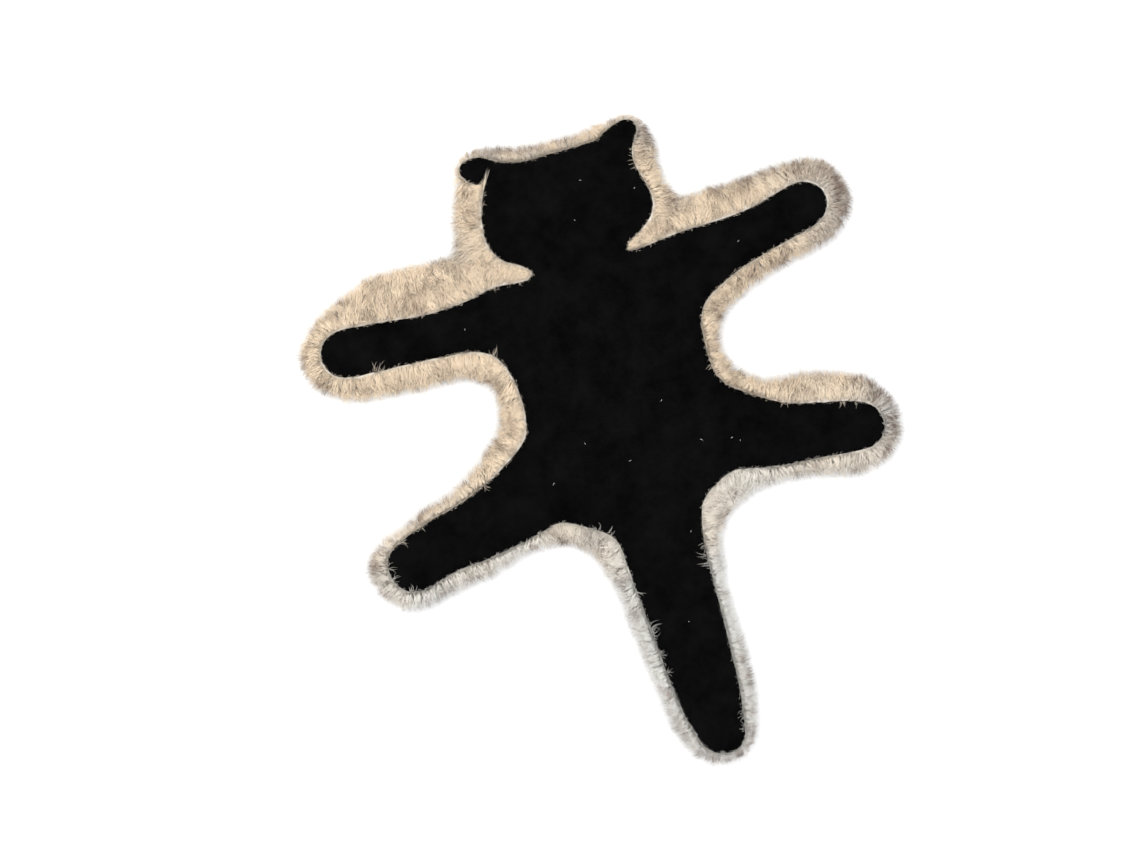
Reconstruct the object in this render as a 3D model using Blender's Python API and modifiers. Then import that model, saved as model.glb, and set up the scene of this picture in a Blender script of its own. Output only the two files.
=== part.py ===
# Cat-shaped rug, lying flat: a cat of black felt sewn on a larger cat of long-pile faux fur.
# Blender 4.5, metres, +Z up, +Y towards the head. The tables are in millimetres.
import math
from collections import namedtuple

import bmesh
import bpy
import numpy as np
from mathutils import Matrix, Vector, noise
from mathutils.geometry import delaunay_2d_cdt

MM = 0.001

# Heights of the pile above the floor
PILE_UNDER_EDGE = 7.0      # pressed down under the felt's cut edge
PILE_UNDER_MIDDLE = 11.0   # where the felt is wide and lets the pile rise
CROWN_REACH = 45.0         # from the felt's edge to its full height
PILE_CREST = 15.5          # the top of the open pile, halfway across the border
PILE_RIM = 8.5             # where the slab ends and the locks begin
LUMP_HEIGHT = 3.0          # how far the open pile rises and falls
WAVE_HEIGHT = 1.2          # a slow wave over the whole rug, felt and all

# Locks of pile at the rim, lying level on the floor
LOCK_COUNT = 284
LOCK_LENGTH = 13.0
LOCK_TIP_HEIGHT = 2.2
LOCK_TIP_WIDTH = 0.3       # of the width at the root
LOCK_UNEVENNESS = 0.35     # of the length, from lock to lock
LOCK_DRIFT = 0.18          # of the length, from one stretch of the rim to the next
LOCK_SWEEP = 3.0           # sideways, at the tip
SLAB_BORDER_LEAST = 7.0    # where the fur shows least, the locks are what is left

# The felt
FELT_THICKNESS = 2.0
FELT_GAP = 0.4             # between the felt and the pile that it presses on
FELT_EDGE_STEP = 9.0       # between points along the cut edge
EAR_LIFT = 4.0             # how far the ears' tips curl up off the pile

# How finely the outline and the surfaces are drawn
CORNER_ROUND = 9.0
TIP_STEPS = 6
OUTLINE_STEP = 3.0
OVERLAP_ALLOWED = 0.4      # between the border's widths where two of them meet
GRID_STEP = 16.0
GRID_CLEARANCE = 8.0
RIM_SMOOTHING = 3

# Unevenness comes from smooth noise: how far apart its hills are, and which slice of it is used
Noise = namedtuple("Noise", "pitch slice")
PILE_LUMPS = Noise(pitch=24.0, slice=8.1)
SLOW_WAVE = Noise(pitch=70.0, slice=3.7)
LENGTH_BY_LOCK = Noise(pitch=7.0, slice=1.3)
LENGTH_BY_STRETCH = Noise(pitch=40.0, slice=5.9)
SWEEP_BY_LOCK = Noise(pitch=11.0, slice=6.2)

# A limb runs from a root along its heading, in degrees from +X. Each section gives the felt's edge
# to the left and right of that middle line, and how far the fur shows past the felt on each side.
# The rounded tip reaches past the last section. A mark is a corner of the outline between limbs.
Section = namedtuple("Section", "along left right fur_left fur_right")
Limb = namedtuple("Limb", "x y heading tip fur_tip sections")
Mark = namedtuple("Mark", "x y fur")

LEFT_EAR = Limb(x=-57, y=310, heading=169, tip=8, fur_tip=12, sections=(
    Section(along=9, left=21, right=13, fur_left=22, fur_right=15),
    Section(along=21, left=12, right=9, fur_left=15, fur_right=15)))

RIGHT_EAR = Limb(x=73, y=295, heading=40, tip=11, fur_tip=15, sections=(
    Section(along=3, left=20, right=13, fur_left=13, fur_right=35),
    Section(along=18, left=13, right=9, fur_left=12, fur_right=27)))

RIGHT_ARM = Limb(x=109, y=159, heading=12.5, tip=26, fur_tip=34, sections=(
    Section(along=4, left=36, right=33, fur_left=41, fur_right=26),
    Section(along=45, left=27, right=24, fur_left=38, fur_right=27),
    Section(along=82, left=22, right=23, fur_left=39, fur_right=25),
    Section(along=127, left=24, right=23, fur_left=29, fur_right=26)))

RIGHT_LEG = Limb(x=111, y=-11, heading=-14.3, tip=27, fur_tip=27, sections=(
    Section(along=22, left=32, right=37, fur_left=20, fur_right=23),
    Section(along=46, left=25, right=35, fur_left=32, fur_right=20),
    Section(along=78, left=25, right=29, fur_left=38, fur_right=21),
    Section(along=117, left=26, right=24, fur_left=36, fur_right=34)))

TAIL = Limb(x=6, y=-94, heading=-88.2, tip=24, fur_tip=18, sections=(
    Section(along=14, left=38, right=41, fur_left=22, fur_right=26),
    Section(along=60, left=35, right=39, fur_left=15, fur_right=23),
    Section(along=120, left=31, right=37, fur_left=20, fur_right=21),
    Section(along=165, left=27, right=34, fur_left=19, fur_right=22),
    Section(along=198, left=21, right=27, fur_left=18, fur_right=25)))

LEFT_LEG = Limb(x=-128, y=-9, heading=-160.4, tip=22, fur_tip=29, sections=(
    Section(along=5, left=47, right=23, fur_left=14, fur_right=25),
    Section(along=45, left=40, right=22, fur_left=20, fur_right=18),
    Section(along=90, left=28, right=27, fur_left=25, fur_right=17),
    Section(along=121, left=27, right=26, fur_left=24, fur_right=12)))

LEFT_ARM = Limb(x=-108, y=164, heading=176.3, tip=25, fur_tip=31, sections=(
    Section(along=14, left=25, right=22, fur_left=32, fur_right=55),
    Section(along=50, left=24, right=19, fur_left=32, fur_right=57),
    Section(along=95, left=24, right=22, fur_left=32, fur_right=58),
    Section(along=137, left=25, right=24, fur_left=30, fur_right=48)))

LEFT_CHEEK = (
    Mark(x=-82, y=195, fur=45), Mark(x=-46, y=190, fur=40), Mark(x=-39, y=198, fur=40),
    Mark(x=-53, y=209, fur=40), Mark(x=-67, y=215, fur=40), Mark(x=-77, y=228, fur=40),
    Mark(x=-80, y=246, fur=36), Mark(x=-75, y=272, fur=35), Mark(x=-67, y=289, fur=35),
    Mark(x=-59, y=306, fur=30))

BROW = (
    Mark(x=-45, y=311, fur=21), Mark(x=-20, y=305, fur=20), Mark(x=6, y=306, fur=17),
    Mark(x=37, y=305, fur=17), Mark(x=58, y=306, fur=15))

RIGHT_CHEEK = (
    Mark(x=83, y=272, fur=29), Mark(x=89, y=254, fur=25), Mark(x=93, y=234, fur=26),
    Mark(x=86, y=218, fur=27), Mark(x=65, y=204, fur=28), Mark(x=50, y=198, fur=30),
    Mark(x=52, y=189, fur=30))

RIGHT_FLANK = (
    Mark(x=107, y=117, fur=26), Mark(x=102, y=100, fur=22), Mark(x=100, y=66, fur=19),
    Mark(x=102, y=48, fur=24), Mark(x=112, y=34, fur=22))

RIGHT_GROIN = (
    Mark(x=91, y=-45, fur=34), Mark(x=66, y=-58, fur=34), Mark(x=52, y=-70, fur=33))

LEFT_GROIN = (
    Mark(x=-35, y=-85, fur=32), Mark(x=-41, y=-73, fur=31), Mark(x=-73, y=-53, fur=28),
    Mark(x=-88, y=-46, fur=25))

LEFT_FLANK = (
    Mark(x=-112, y=28, fur=30), Mark(x=-93, y=43, fur=35), Mark(x=-88, y=72, fur=29),
    Mark(x=-90, y=100, fur=26), Mark(x=-98, y=126, fur=31), Mark(x=-110, y=135, fur=32))


def axes_of(limb):
    turn = math.radians(limb.heading)
    ahead = np.array((math.cos(turn), math.sin(turn)))
    return np.array((limb.x, limb.y)), ahead, np.array((-ahead[1], ahead[0]))


def limb_corners(limb):
    """The felt's corners down a limb's left side, round its tip and back up its right side."""
    root, ahead, leftwards = axes_of(limb)
    end = limb.sections[-1]
    corners = [(*(root + ahead * row.along + leftwards * row.left), row.fur_left)
               for row in limb.sections]
    for step in range(1, TIP_STEPS):
        angle = math.pi * (0.5 - step / TIP_STEPS)
        half_width = end.left if angle > 0 else end.right
        forward = end.along + limb.tip * math.cos(angle)
        point = root + ahead * forward + leftwards * half_width * math.sin(angle)
        corners.append((*point, limb.fur_tip))
    corners += [(*(root + ahead * row.along - leftwards * row.right), row.fur_right)
                for row in reversed(limb.sections)]
    return corners


def cat_corners():
    """Clockwise from the left cheek. Each row is x, y and how far the fur shows past it there."""
    corners = []
    for stretch in (LEFT_CHEEK, LEFT_EAR, BROW, RIGHT_EAR, RIGHT_CHEEK, RIGHT_ARM, RIGHT_FLANK,
                    RIGHT_LEG, RIGHT_GROIN, TAIL, LEFT_GROIN, LEFT_LEG, LEFT_FLANK, LEFT_ARM):
        corners += limb_corners(stretch) if isinstance(stretch, Limb) else list(stretch)
    return np.array(corners, dtype=float)


def rounded(corners):
    """The closed line through the corners, with a short curve at each, as scissors leave it."""
    line = []
    befores = np.roll(corners, 1, axis=0)
    afters = np.roll(corners, -1, axis=0)
    for corner, before, after in zip(corners, befores, afters):
        ends = []
        for other in (before, after):
            apart = np.hypot(*(other - corner)[:2])
            ends.append(corner + (other - corner) * min(CORNER_ROUND / apart, 0.45))
        line += [ends[0], (ends[0] + 2 * corner + ends[1]) / 4, ends[1]]
    return np.array(line)


def evenly_spaced(line, count):
    """The same closed line with its points at equal distances."""
    closed = np.vstack((line, line[:1]))
    steps = np.hypot(*np.diff(closed[:, :2], axis=0).T)
    distance = np.concatenate(([0.0], np.cumsum(steps)))
    wanted = np.linspace(0.0, distance[-1], count, endpoint=False)
    return np.column_stack([np.interp(wanted, distance, column) for column in closed.T])


def length_of(line):
    return np.hypot(*(np.roll(line, -1, axis=0) - line)[:, :2].T).sum()


def outward(line):
    """Unit vectors across a clockwise line, pointing out of it."""
    along = np.roll(line, -1, axis=0)[:, :2] - np.roll(line, 1, axis=0)[:, :2]
    across = np.column_stack((-along[:, 1], along[:, 0]))
    return across / np.hypot(*across.T)[:, None]


def distances(points, line):
    return np.hypot(points[:, None, 0] - line[None, :, 0], points[:, None, 1] - line[None, :, 1])


def grown(edge, widths, count):
    """The line that lies a given width outside the edge, a width for each of its points."""
    moved = edge[:, :2] + outward(edge) * widths[:, None]
    inside_another = (distances(moved, edge) - widths[None, :]).min(axis=1) < -OVERLAP_ALLOWED
    line = evenly_spaced(moved[~inside_another], count)
    for _ in range(RIM_SMOOTHING):
        line = line / 2 + (np.roll(line, 1, axis=0) + np.roll(line, -1, axis=0)) / 4
    return evenly_spaced(line, count)


def is_inside(points, line):
    """Whether each point lies inside a closed line, by counting crossings."""
    inside = np.zeros(len(points), dtype=bool)
    for (ax, ay), (bx, by) in zip(line[:, :2], np.roll(line, -1, axis=0)[:, :2]):
        if ay == by:
            continue
        crosses = (points[:, 1] > ay) != (points[:, 1] > by)
        inside ^= crosses & (points[:, 0] < ax + (points[:, 1] - ay) * (bx - ax) / (by - ay))
    return inside


def soft_step(value):
    value = np.clip(value, 0.0, 1.0)
    return value * value * (3.0 - 2.0 * value)


def unevenness(points, kind):
    return np.array([noise.noise(Vector((x / kind.pitch, y / kind.pitch, kind.slice)))
                     for x, y in points[:, :2]])


class Pattern:
    """The felt's cut edge, the slab's rim and the points between them, seen from above."""

    def __init__(self):
        corners = rounded(cat_corners())
        self.edge = evenly_spaced(corners, round(length_of(corners) / OUTLINE_STEP))
        self.fur_width = self.edge[:, 2]
        self.slab_width = np.maximum(self.fur_width - LOCK_LENGTH, SLAB_BORDER_LEAST)
        self.felt_loop = evenly_spaced(corners, round(length_of(corners) / FELT_EDGE_STEP))[:, :2]
        self.crest_loop = grown(self.edge, self.slab_width / 2, LOCK_COUNT)
        self.rim_loop = grown(self.edge, self.slab_width, LOCK_COUNT)
        self.triangulate()

    def grid(self):
        low, high = self.rim_loop.min(axis=0), self.rim_loop.max(axis=0)
        row_step = GRID_STEP * math.sqrt(3) / 2
        points = [(x + (row % 2) * GRID_STEP / 2, y)
                  for row, y in enumerate(np.arange(low[1], high[1], row_step))
                  for x in np.arange(low[0], high[0], GRID_STEP)]
        points = np.array(points)
        loops = np.vstack((self.felt_loop, self.crest_loop, self.rim_loop))
        clear = distances(points, loops).min(axis=1) > GRID_CLEARANCE
        return points[clear & is_inside(points, self.rim_loop)]

    def triangulate(self):
        felt_start = len(self.rim_loop)
        felt_end = felt_start + len(self.felt_loop)
        seeds = np.vstack((self.rim_loop, self.felt_loop, self.crest_loop, self.grid()))
        felt_sides = [(i, i + 1) for i in range(felt_start, felt_end - 1)]
        felt_sides.append((felt_end - 1, felt_start))
        rim_face = list(range(felt_start))
        # The rim turns clockwise, and a face has to turn the other way
        found = delaunay_2d_cdt([Vector(seed) for seed in seeds], felt_sides, [rim_face[::-1]], 1, 1e-6)
        self.points = np.array([tuple(point) for point in found[0]])
        self.triangles = [tuple(face) for face in found[2]]
        centres = np.array([self.points[list(face)].mean(axis=0) for face in self.triangles])
        self.under_felt = is_inside(centres, self.felt_loop)
        place_of_seed = {seed: place for place, seeds_here in enumerate(found[3]) for seed in seeds_here}
        self.rim = [place_of_seed[seed] for seed in rim_face]

    def pile_heights(self):
        """The height of the pile's top over each point, in millimetres."""
        apart = distances(self.points, self.edge)
        nearest = apart.argmin(axis=1)
        away = apart.min(axis=1)
        inside = is_inside(self.points, self.felt_loop)
        pressed = PILE_UNDER_EDGE + (PILE_UNDER_MIDDLE - PILE_UNDER_EDGE) * soft_step(away / CROWN_REACH)
        across = away / self.slab_width[nearest]
        rise = PILE_UNDER_EDGE + (PILE_CREST - PILE_UNDER_EDGE) * soft_step(across * 2)
        fall = PILE_CREST + (PILE_RIM - PILE_CREST) * soft_step(across * 2 - 1)
        open_pile = np.where(across < 0.5, rise, fall)
        open_lumps = unevenness(self.points, PILE_LUMPS) * LUMP_HEIGHT * soft_step(across * 2)
        slow_wave = unevenness(self.points, SLOW_WAVE) * WAVE_HEIGHT
        return np.where(inside, pressed, open_pile + open_lumps) + slow_wave


def ear_lift(points):
    """How far each point of the felt is curled up off the pile at the ears."""
    lift = np.zeros(len(points))
    for ear in (LEFT_EAR, RIGHT_EAR):
        root, ahead, leftwards = axes_of(ear)
        along = (points - root) @ ahead
        beside = np.abs((points - root) @ leftwards)
        reach = ear.sections[-1].along + ear.tip
        near = beside < ear.sections[0].left + 4
        lift = np.maximum(lift, EAR_LIFT * soft_step(along / reach) * near)
    return lift


def new_object(name, mesh_builder, material, collection):
    mesh = bpy.data.meshes.new(name)
    mesh_builder.normal_update()
    mesh_builder.to_mesh(mesh)
    mesh_builder.free()
    mesh.materials.append(material)
    thing = bpy.data.objects.new(name, mesh)
    collection.objects.link(thing)
    return thing


def grow_locks(fur, rim_faces, rooms):
    """Draws each face of the rim out into a lock that tapers and comes down to the floor.

    rooms says how much of the full length each lock has room for.
    """
    places = np.array([tuple(face.calc_center_median())[:2] for face in rim_faces]) / MM
    lengths = LOCK_LENGTH * rooms * (1.0 + LOCK_UNEVENNESS * unevenness(places, LENGTH_BY_LOCK)
                                     + LOCK_DRIFT * unevenness(places, LENGTH_BY_STRETCH))
    sweeps = LOCK_SWEEP * rooms * unevenness(places, SWEEP_BY_LOCK)
    outs = [Vector((face.normal.x, face.normal.y, 0.0)).normalized() for face in rim_faces]
    tips = bmesh.ops.extrude_discrete_faces(fur, faces=rim_faces)["faces"]
    for tip, out, length, sweep in zip(tips, outs, lengths, sweeps):
        aside = Vector((-out.y, out.x, 0.0))
        middle = tip.calc_center_median()
        for vert in tip.verts:
            from_middle = (vert.co - middle).dot(aside)
            is_top = vert.co.z > middle.z
            vert.co += out * length * MM
            vert.co += aside * (sweep * MM - from_middle * (1.0 - LOCK_TIP_WIDTH))
            vert.co.z = LOCK_TIP_HEIGHT * MM if is_top else 0.0


def fur_base(pattern, material, collection):
    heights = pattern.pile_heights()
    fur = bmesh.new()
    tops = [fur.verts.new((x * MM, y * MM, z * MM)) for (x, y), z in zip(pattern.points, heights)]
    for triangle in pattern.triangles:
        fur.faces.new([tops[i] for i in triangle])
    rim = [tops[i] for i in pattern.rim]
    feet = [fur.verts.new((vert.co.x, vert.co.y, 0.0)) for vert in rim]
    fur.faces.new(feet)
    count = len(rim)
    rim_faces = [fur.faces.new((rim[i], rim[(i + 1) % count], feet[(i + 1) % count], feet[i]))
                 for i in range(count)]
    bmesh.ops.recalc_face_normals(fur, faces=fur.faces)
    # Where the fur shows little past the felt, the locks are shorter
    nearest = distances(pattern.rim_loop, pattern.edge).argmin(axis=1)
    grow_locks(fur, rim_faces, (pattern.fur_width - pattern.slab_width)[nearest] / LOCK_LENGTH)
    return new_object("fur_base", fur, material, collection)


def cat_panel(pattern, material, collection):
    """A single sheet over the pressed pile, with its thickness above it."""
    heights = pattern.pile_heights() + FELT_GAP + ear_lift(pattern.points)
    felt = bmesh.new()
    verts = {}
    for triangle, under_felt in zip(pattern.triangles, pattern.under_felt):
        if not under_felt:
            continue
        for i in triangle:
            if i not in verts:
                verts[i] = felt.verts.new((*(pattern.points[i] * MM), heights[i] * MM))
        felt.faces.new([verts[i] for i in triangle])
    bmesh.ops.recalc_face_normals(felt, faces=felt.faces)
    if sum(face.normal.z for face in felt.faces) < 0:
        bmesh.ops.reverse_faces(felt, faces=felt.faces)
    panel = new_object("cat_panel", felt, material, collection)
    thicken = panel.modifiers.new("felt thickness", "SOLIDIFY")
    thicken.thickness = FELT_THICKNESS * MM
    thicken.offset = 1.0
    thicken.use_rim = True
    return panel


def cloth_material(name, colour, roughness):
    material = bpy.data.materials.new(name)
    material.use_nodes = True
    shader = material.node_tree.nodes["Principled BSDF"]
    shader.inputs["Base Color"].default_value = (*colour, 1.0)
    shader.inputs["Roughness"].default_value = roughness
    shader.inputs["Metallic"].default_value = 0.0
    return material


def centre_over_origin(pieces):
    """Puts the middle of the rug's box over the origin, with its underside on the floor."""
    corners = np.array([tuple(vert.co) for piece in pieces for vert in piece.data.vertices])
    middle = (corners.min(axis=0) + corners.max(axis=0)) / 2
    for piece in pieces:
        piece.data.transform(Matrix.Translation((-middle[0], -middle[1], 0.0)))


def build_rug():
    for thing in list(bpy.data.objects):
        bpy.data.objects.remove(thing, do_unlink=True)
    collection = bpy.data.collections.new("cat_rug")
    bpy.context.scene.collection.children.link(collection)
    long_pile = cloth_material("long pile faux fur", (0.74, 0.70, 0.64), 0.95)
    black_felt = cloth_material("black felt", (0.012, 0.012, 0.013), 0.9)
    pattern = Pattern()
    pieces = [fur_base(pattern, long_pile, collection), cat_panel(pattern, black_felt, collection)]
    centre_over_origin(pieces)


build_rug()
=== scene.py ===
# The cat-shaped rug as it looks: black felt sewn on a larger piece of long-pile faux fur.
# Blender 4.5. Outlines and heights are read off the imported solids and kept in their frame: metres,
# +Z up, +Y towards the head. Named sizes and tables are in millimetres.
import math
from collections import namedtuple

import bmesh
import bpy
import numpy as np
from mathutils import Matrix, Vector, noise
from mathutils.bvhtree import BVHTree
from mathutils.geometry import delaunay_2d_cdt


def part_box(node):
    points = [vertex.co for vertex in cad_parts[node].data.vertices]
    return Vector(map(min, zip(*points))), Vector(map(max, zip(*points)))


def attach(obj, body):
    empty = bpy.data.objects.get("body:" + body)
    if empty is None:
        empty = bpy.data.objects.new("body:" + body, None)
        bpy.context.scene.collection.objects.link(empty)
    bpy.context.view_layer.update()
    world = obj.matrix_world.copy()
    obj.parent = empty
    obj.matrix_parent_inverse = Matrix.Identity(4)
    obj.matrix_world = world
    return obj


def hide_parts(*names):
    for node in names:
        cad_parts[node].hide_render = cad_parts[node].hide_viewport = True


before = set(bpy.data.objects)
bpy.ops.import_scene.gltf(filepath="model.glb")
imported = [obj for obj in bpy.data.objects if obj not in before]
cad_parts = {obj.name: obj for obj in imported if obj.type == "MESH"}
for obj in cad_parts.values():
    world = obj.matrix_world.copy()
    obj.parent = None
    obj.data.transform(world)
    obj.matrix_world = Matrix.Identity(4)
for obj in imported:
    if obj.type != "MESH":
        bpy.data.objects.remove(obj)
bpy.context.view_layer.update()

MM = 0.001

# Colours of the fur's strands: grey and warm roots, and thin and thick places of dark tips; the warm
# roots also give the painted warm lamp glow
FUR_ROOTS = ((0.90, 0.89, 0.85), (0.98, 0.825, 0.63))
FUR_TIPS = ((0.30, 0.185, 0.125), (0.10, 0.062, 0.042))

# Colours of the cloths, each from its thin places to its thick ones
FELT_COLOURS = ((0.0008, 0.0008, 0.0009), (0.0040, 0.0038, 0.0038))
BACKING_COLOURS = ((0.64, 0.60, 0.54), (0.72, 0.68, 0.62))
UNDERCOAT_COLOURS = ((0.62, 0.57, 0.50), (0.84, 0.80, 0.74))

# The same colours of the loose hairs, whose warm roots also give the painted warm lamp glow
HAIR_ROOTS = ((0.74, 0.72, 0.68), (0.80, 0.70, 0.57))
HAIR_TIPS = ((0.5, 0.45, 0.4), (0.4, 0.36, 0.3))

# Smooth noise: how far apart its hills are, which slice of it is used, and how much it moves
# what it is added to
Uneven = namedtuple("Uneven", "pitch slice amount")

# The least and the most of what differs at random from strand to strand
Range = namedtuple("Range", "least most")

# What the random draws start from
PILE_SEED = 11
HAIR_SEED = 23
LINT_SEED = 5

# The felt
FELT_THICKNESS = 1.9
FELT_EDGE_STEP = 3.0       # between points along the cut
FELT_GRID = 5.0
FELT_EDGE_BULGE = 0.25     # the cut edge is a little round
FELT_EDGE_ROUNDS = 2       # of evening out its points
EDGE_LOOK = 2              # points on both sides, over which outwards is judged
FELT_CARRY_ROUNDS = 4      # of carrying its height on past the solid's edge
FELT_SOFT_ROUNDS = 3
FELT_CURL_REACH = 12.0     # how far in from the cut the felt curls
SCISSOR_WOBBLE = Uneven(pitch=13.0, slice=0.4, amount=0.5)
FELT_WAVE = Uneven(pitch=48.0, slice=2.2, amount=1.0)
FELT_DIMPLE = Uneven(pitch=14.0, slice=4.6, amount=0.3)
FELT_CURL = Uneven(pitch=22.0, slice=9.3, amount=1.3)

# The backing that the pile is knitted into, and the short dense undercoat on it
BACKING_THICKNESS = 1.2
BACKING_SHORT_OF_PILE = 16.5
BACKING_BORDER_LEAST = 4.0
BACKING_GRID = 8.0
BACKING_EDGE_BULGE = 0.1
CLOTH_LINE_STEP = 4.0      # between points along the rims of backing and undercoat
UNDERCOAT_SHORT_OF_PILE = 17.5
UNDERCOAT_BORDER_LEAST = 2.5
UNDERCOAT_GRID = 4.5
UNDERCOAT_BELOW_PILE = 3.4
UNDERCOAT_BELOW_EDGE = 1.6  # it fills the groove along the felt's cut
UNDERCOAT_RISE = 8.0       # from the cut to its full depth below the pile
CUT_INSIDE = -0.5          # where the undercoat leaves the felt's underside, and where it is up
CUT_OUTSIDE = 0.7
UNDERCOAT_OVER_BACKING = 0.05
UNDERCOAT_EDGE_BULGE = 0.4
UNDERCOAT_BELOW_FELT = 1.6
UNDERCOAT_RIM_HEIGHT = 2.0
UNDERCOAT_RIM_REACH = 9.0
UNDERCOAT_LUMPS = Uneven(pitch=7.0, slice=1.9, amount=1.4)
LUMPS_RISE = 6.0           # from the cut to where the lumps are full

# The rim of the fur, where the solid's locks end
LOCK_TIP_BELOW = 3.0       # only the locks' tips are as low as this
RIM_STEP = 4.0
RIM_ROUNDS = 6

# The pile: clumps of strands that lean outwards over the border
SLOPE_HEIGHT = 14.0        # of the pile where it comes up past the felt
SLOPE_ROUND = 1.7
SLOPE_SHARE = 0.6          # of that slope in the pile's top; the rest is the solid's
PILE_SOFT_ROUNDS = 2
CLUMP_PITCH = 5.2
CLUMP_PULL = 0.45          # how far a strand's tip is drawn to its clump's tip
CLUMP_TIP_SPREAD = 2.0
CLUMP_STRAY_ANGLE = 20.0   # degrees
CLUMP_ROOM = Range(0.5, 0.95)  # of its room to the rim
CLUMP_REACH = Range(0.8, 1.15)  # of a strand's reach
STRAND_PITCH = 1.03
STRAND_REACH = 19.0        # level distance from root to tip
STRAND_REACH_SPREAD = 0.4
SHORTEST_SHARE = 0.33      # of its room to the rim, which a strand takes up
LONGEST_SHARE = 1.14
SHORT_POWER = 3            # how strongly the shares lean to the shortest
FURTHEST_ROOM = 1.5 * STRAND_REACH
OWN_LEAN = 0.4             # straight outwards; the rest of its lean is its clump's
PULLS = Range(0.4, 1.4)    # of the clump's pull
STRAND_STRAY_ANGLE = 13.0  # degrees
STRAND_ARCH = 1.4          # how far its middle stands over the pile's top
ARCHES = Range(0.2, 1.4)   # of that height
FULL_ARCH_REACH = 11.0     # shorter strands arch less
LEAST_ARCH_SHARE = 0.2
BEND_PLACE = 0.2           # of the way to the tip, for a strand at the felt's edge
BEND_FURTHER = 0.25        # added to it further out
BEND_RISE = 8.0            # from the cut to where all of it is added
ROOT_DEPTH = 1.0           # below the undercoat's top
LEAST_ROOT_SHARE = 0.6     # of the backing's thickness
TIP_HEIGHTS = Range(-1.2, 1.4)  # added to the pile's top
LOWEST_TIP = 0.5
LOWEST_STRAND = 0.45
THICKNESSES = Range(0.7, 1.3)  # of the half widths
STRAND_CURL = 1.8
STRAND_HALF_WIDTHS = (0.25, 0.28, 0.23, 0.0)
RIM_THINNING = 0.45        # of the strands whose tips are at the rim
WILD_POWER = 4             # how strongly the wildness leans to none
WILD_ANGLE = 34.0          # degrees, added to the wildest strand's angle
WILD_ARCH = 2.4
WILD_REACH = 5.0
WILD_THINNING = 0.5
FIRST_ROOTS = 0.2          # from the felt's edge
LAST_ROOTS = 12.0          # short of the fur's rim
LAST_CLUMPS = 10.0
NARROW_STRIP_SHARE = 0.5
CROWDED_ARCH = 0.12        # of the reach that a strand has no room for
FLOW_SLOW = Uneven(pitch=34.0, slice=3.3, amount=36.0)
FLOW_QUICK = Uneven(pitch=12.0, slice=7.1, amount=24.0)
TIP_PATCHES = Uneven(pitch=13.0, slice=5.5, amount=1.5)
TONE_MIDDLE = 0.2          # of the clumps, and how far their tones lie on both sides of it
TONE_SPREAD = 0.6
TICKED_SHARE = 0.10        # of the strands are darker than their clump, by so much
TICKED_TONE = 0.45
CLUMP_TONES = Range(0.03, 1.1)  # a clump's tone is kept between these
STRAND_TONES = Range(0.4, 1.4)  # of its clump's tone
FUR_DARK = (0.0, 0.6)      # along the strand: where its dark tip starts, and where it is full
RIM_DROP = 0.8             # of its height, which a tip at the rim may hang lower
MIDDLE_DROP = 0.3
PALE_INSIDE = 0.55         # of a strand's tone, if its tip lies well inside the rim
DARK_RING = 10.0           # how wide the ring of darker tips is
CLUMP_RISE = Uneven(pitch=9.0, slice=6.4, amount=2.4)
# random creamy patches of the fur's own colour; the rise below is painted warm lamp glow
WARMTH = Uneven(pitch=70.0, slice=2.7, amount=0.7)
LAMP_GLOW_FROM = -95.0          # painted warm lamp glow: the pile is greyer towards the tail, creamier towards the head
LAMP_GLOW_RISE = 130.0

# Places where more of the tips are brown, and the pile is greyer
Dark = namedtuple("Dark", "x y reach amount")
DARKS = (
    Dark(x=-48, y=318, reach=30, amount=0.7), Dark(x=-10, y=308, reach=26, amount=0.6),
    Dark(x=30, y=302, reach=24, amount=0.4), Dark(x=106, y=298, reach=32, amount=0.9),
    Dark(x=114, y=222, reach=22, amount=0.5), Dark(x=-104, y=238, reach=34, amount=0.5),
    Dark(x=-100, y=275, reach=18, amount=0.4), Dark(x=268, y=180, reach=80, amount=1.0),
    Dark(x=205, y=226, reach=26, amount=0.3), Dark(x=205, y=22, reach=34, amount=0.4),
    Dark(x=262, y=-35, reach=58, amount=0.75), Dark(x=-58, y=-70, reach=26, amount=0.25),
    Dark(x=-275, y=130, reach=26, amount=0.3), Dark(x=-268, y=-60, reach=34, amount=0.3),
    Dark(x=48, y=-250, reach=46, amount=0.25), Dark(x=22, y=-318, reach=34, amount=0.25),
    Dark(x=-26, y=-285, reach=36, amount=0.2))
GREYER = 0.65              # of the warmth and its painted lamp glow, lost where the darkness is full

# The pile is made in six pieces, each round the point that is nearest
Stretch = namedtuple("Stretch", "name x y")
STRETCHES = (
    Stretch(name="head", x=5, y=255), Stretch(name="right_arm", x=205, y=180),
    Stretch(name="right_leg", x=195, y=-35), Stretch(name="tail", x=10, y=-215),
    Stretch(name="left_leg", x=-195, y=-45), Stretch(name="left_arm", x=-195, y=175))

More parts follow.
